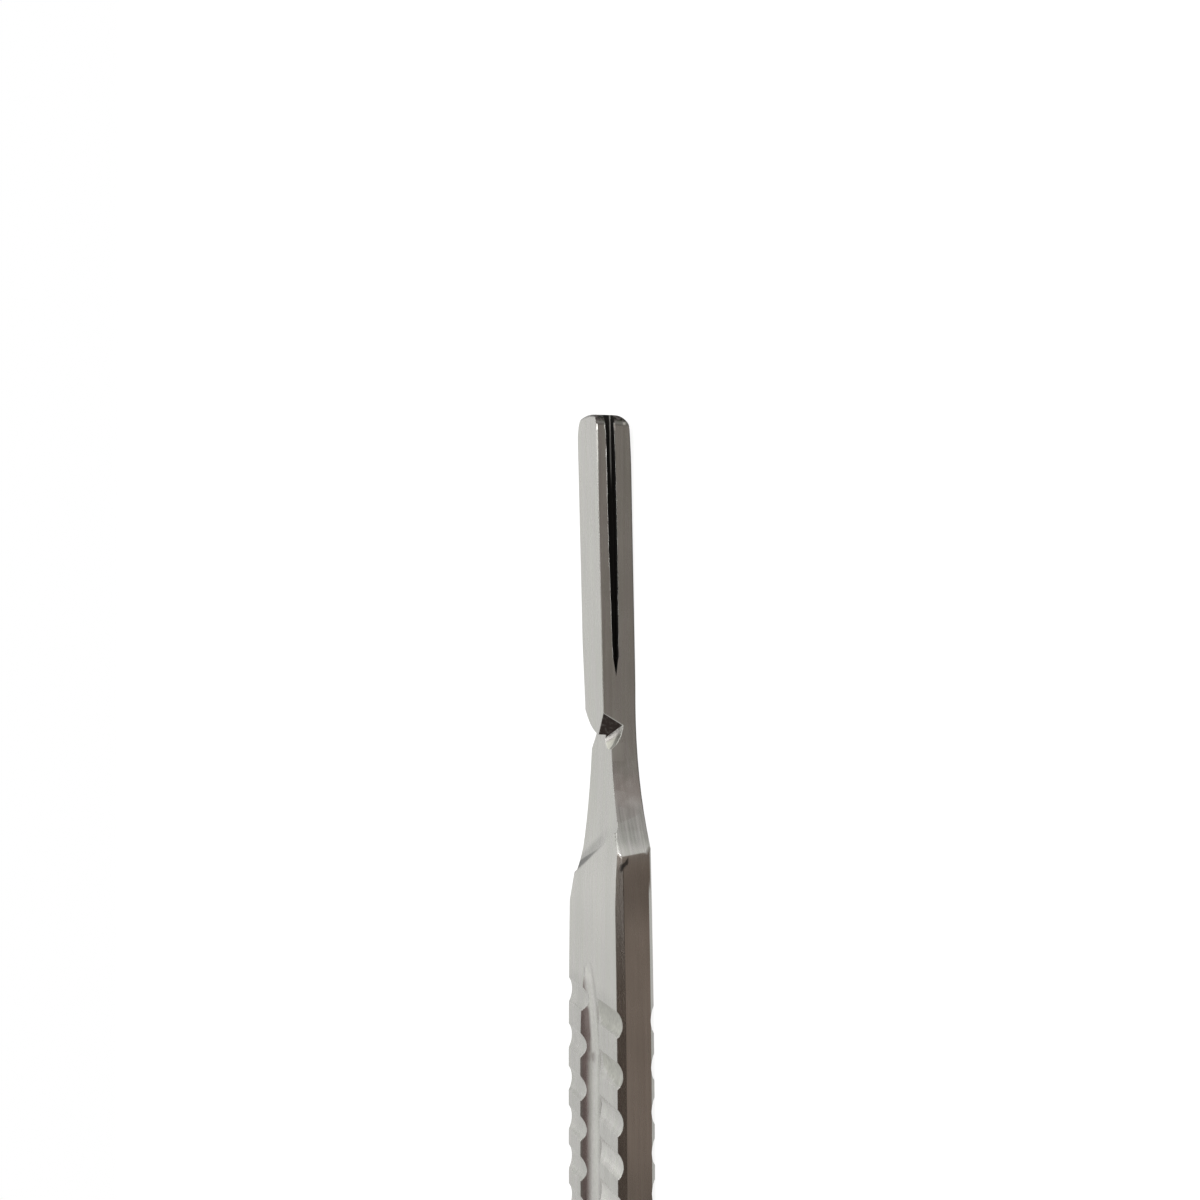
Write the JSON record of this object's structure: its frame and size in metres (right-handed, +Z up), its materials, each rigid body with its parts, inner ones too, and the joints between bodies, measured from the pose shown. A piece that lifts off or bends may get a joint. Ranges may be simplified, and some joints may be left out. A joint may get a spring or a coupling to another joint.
{
  "type": "scalpel handle",
  "caption": "Flat stainless steel scalpel handle with a stepped nib for detachable blades, oblique shoulder, cross-fluted grip and a long channel.",
  "frame": {"origin": "under the middle of the handle's length and width, on the surface that it lies on", "axes": "+X along the handle towards the nib's tip, +Y across it to the side where the shoulder lies further back, +Z up out of the front face, on the nib's stepped side"},
  "size_m": [0.135, 0.0142, 0.0027],
  "materials": {
    "stainless_steel": "satin, ground and brushed lengthwise"
  },
  "bodies": {
    "root": {"scalpel_handle": "stainless_steel"}
  },
  "joints": []
}
